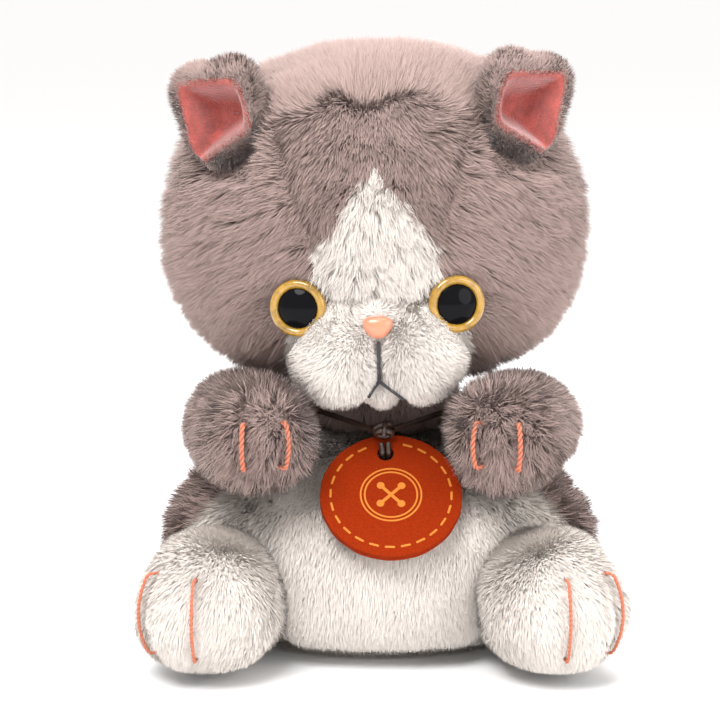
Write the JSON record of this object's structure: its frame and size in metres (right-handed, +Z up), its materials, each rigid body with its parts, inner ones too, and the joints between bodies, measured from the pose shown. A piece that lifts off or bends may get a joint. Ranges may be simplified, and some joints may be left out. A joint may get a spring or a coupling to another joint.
{
  "type": "plush cat",
  "caption": "Seated plush cat with a round head, folded ears, moulded eyes and nose, stubby limbs, and a round felt tag on a cord around its neck.",
  "frame": {"origin": "centre of the seat, on the surface that the cat sits on", "axes": "+Z up, -Y the way the cat faces, +X towards the cat's left"},
  "size_m": [0.1224, 0.1328, 0.1558],
  "materials": {
    "grey_plush": "deep sheared pile, matte with a soft sheen",
    "white_plush": "deep sheared pile, matte with a soft sheen",
    "coral_knit": "fine rib knit, matte",
    "stuffing": "loose polyester fibre",
    "bag_cloth": "plain woven cloth bag of plastic pellets",
    "mustard_moulding": "glossy moulded plastic",
    "black_moulding": "mirror-gloss moulded plastic",
    "washer_moulding": "plain moulded plastic",
    "salmon_moulding": "satin moulded plastic",
    "grey_thread": "stranded embroidery thread",
    "salmon_thread": "stranded embroidery thread",
    "waxed_cord": "waxed braided cord, faint gloss",
    "tag_felt": "pressed felt, matte"
  },
  "bodies": {
    "trunk": {"back_panel": "grey_plush", "base_panel": "white_plush", "belly_panel": "white_plush", "body_stuffing": "stuffing", "pellet_bag": "bag_cloth", "tag_cord": "waxed_cord", "tag_knot": "waxed_cord"},
    "neck": {"neck_stuffing": "stuffing"},
    "head": {"blaze_panel": "white_plush", "crown_panel": "grey_plush", "eye_pupil_left": "black_moulding", "eye_pupil_right": "black_moulding", "eye_rim_left": "mustard_moulding", "eye_rim_right": "mustard_moulding", "eye_washer_left": "washer_moulding", "eye_washer_right": "washer_moulding", "head_back_panel": "grey_plush", "head_side_panel_left": "grey_plush", "head_side_panel_right": "grey_plush", "head_stuffing": "stuffing", "mouth_thread": "grey_thread", "muzzle_panel": "white_plush", "nose": "salmon_moulding", "nose_washer": "washer_moulding"},
    "ear_left": {"ear_back_left": "grey_plush", "ear_lining_left": "coral_knit"},
    "ear_right": {"ear_back_right": "grey_plush", "ear_lining_right": "coral_knit"},
    "arm_left": {"arm_cover_left": "grey_plush", "arm_stuffing_left": "stuffing", "paw_thread_left_inner": "salmon_thread", "paw_thread_left_outer": "salmon_thread"},
    "arm_right": {"arm_cover_right": "grey_plush", "arm_stuffing_right": "stuffing", "paw_thread_right_inner": "salmon_thread", "paw_thread_right_outer": "salmon_thread"},
    "leg_left": {"foot_thread_left_inner": "salmon_thread", "foot_thread_left_outer": "salmon_thread", "leg_cover_left": "white_plush", "leg_stuffing_left": "stuffing"},
    "leg_right": {"foot_thread_right_inner": "salmon_thread", "foot_thread_right_outer": "salmon_thread", "leg_cover_right": "white_plush", "leg_stuffing_right": "stuffing"},
    "tail": {"tail_cover": "grey_plush", "tail_stuffing": "stuffing"},
    "tag": {"tag_back": "tag_felt", "tag_front": "tag_felt", "tag_loop": "waxed_cord"}
  },
  "joints": [
    {"name": "neck_turn", "type": "hinge", "parent": "trunk", "child": "neck", "pos_m": [0, 0, 0.061], "axis": [0, 0, 1], "range_deg": [-10, 10], "stiffness_Nm_per_rad": 0.12},
    {"name": "head_nod", "type": "hinge", "parent": "neck", "child": "head", "pos_m": [0, 0, 0.061], "axis": [1, 0, 0], "range_deg": [-12, 4], "stiffness_Nm_per_rad": 0.4},
    {"name": "arm_spread_left", "type": "hinge", "parent": "trunk", "child": "arm_left", "pos_m": [0.038, -0.008, 0.0545], "axis": [0, 0, 1], "range_deg": [0, 45], "stiffness_Nm_per_rad": 0.02},
    {"name": "arm_spread_right", "type": "hinge", "parent": "trunk", "child": "arm_right", "pos_m": [-0.038, -0.008, 0.0545], "axis": [0, 0, -1], "range_deg": [0, 45], "stiffness_Nm_per_rad": 0.02},
    {"name": "leg_spread_left", "type": "hinge", "parent": "trunk", "child": "leg_left", "pos_m": [0.038, -0.035, 0.0173], "axis": [0, 0, 1], "range_deg": [0, 20], "stiffness_Nm_per_rad": 0.03},
    {"name": "leg_spread_right", "type": "hinge", "parent": "trunk", "child": "leg_right", "pos_m": [-0.038, -0.035, 0.0173], "axis": [0, 0, -1], "range_deg": [0, 20], "stiffness_Nm_per_rad": 0.03},
    {"name": "tail_wag", "type": "hinge", "parent": "trunk", "child": "tail", "pos_m": [0, 0.04, 0.015], "axis": [0, 0, 1], "range_deg": [-10, 10], "stiffness_Nm_per_rad": 0.01},
    {"name": "ear_fold_left", "type": "hinge", "parent": "head", "child": "ear_left", "pos_m": [0.03472, -0.02219, 0.13357], "axis": [0.7968, 0.4175, -0.4367], "range_deg": [-8, 8], "stiffness_Nm_per_rad": 0.004},
    {"name": "ear_fold_right", "type": "hinge", "parent": "head", "child": "ear_right", "pos_m": [-0.03847, -0.02219, 0.13166], "axis": [0.7729, -0.4175, 0.4779], "range_deg": [-8, 8], "stiffness_Nm_per_rad": 0.004},
    {"name": "tag_swing", "type": "hinge", "parent": "trunk", "child": "tag", "pos_m": [0.00082, -0.03406, 0.05817], "axis": [-1, 0, 0], "range_deg": [0, 20]}
  ]
}
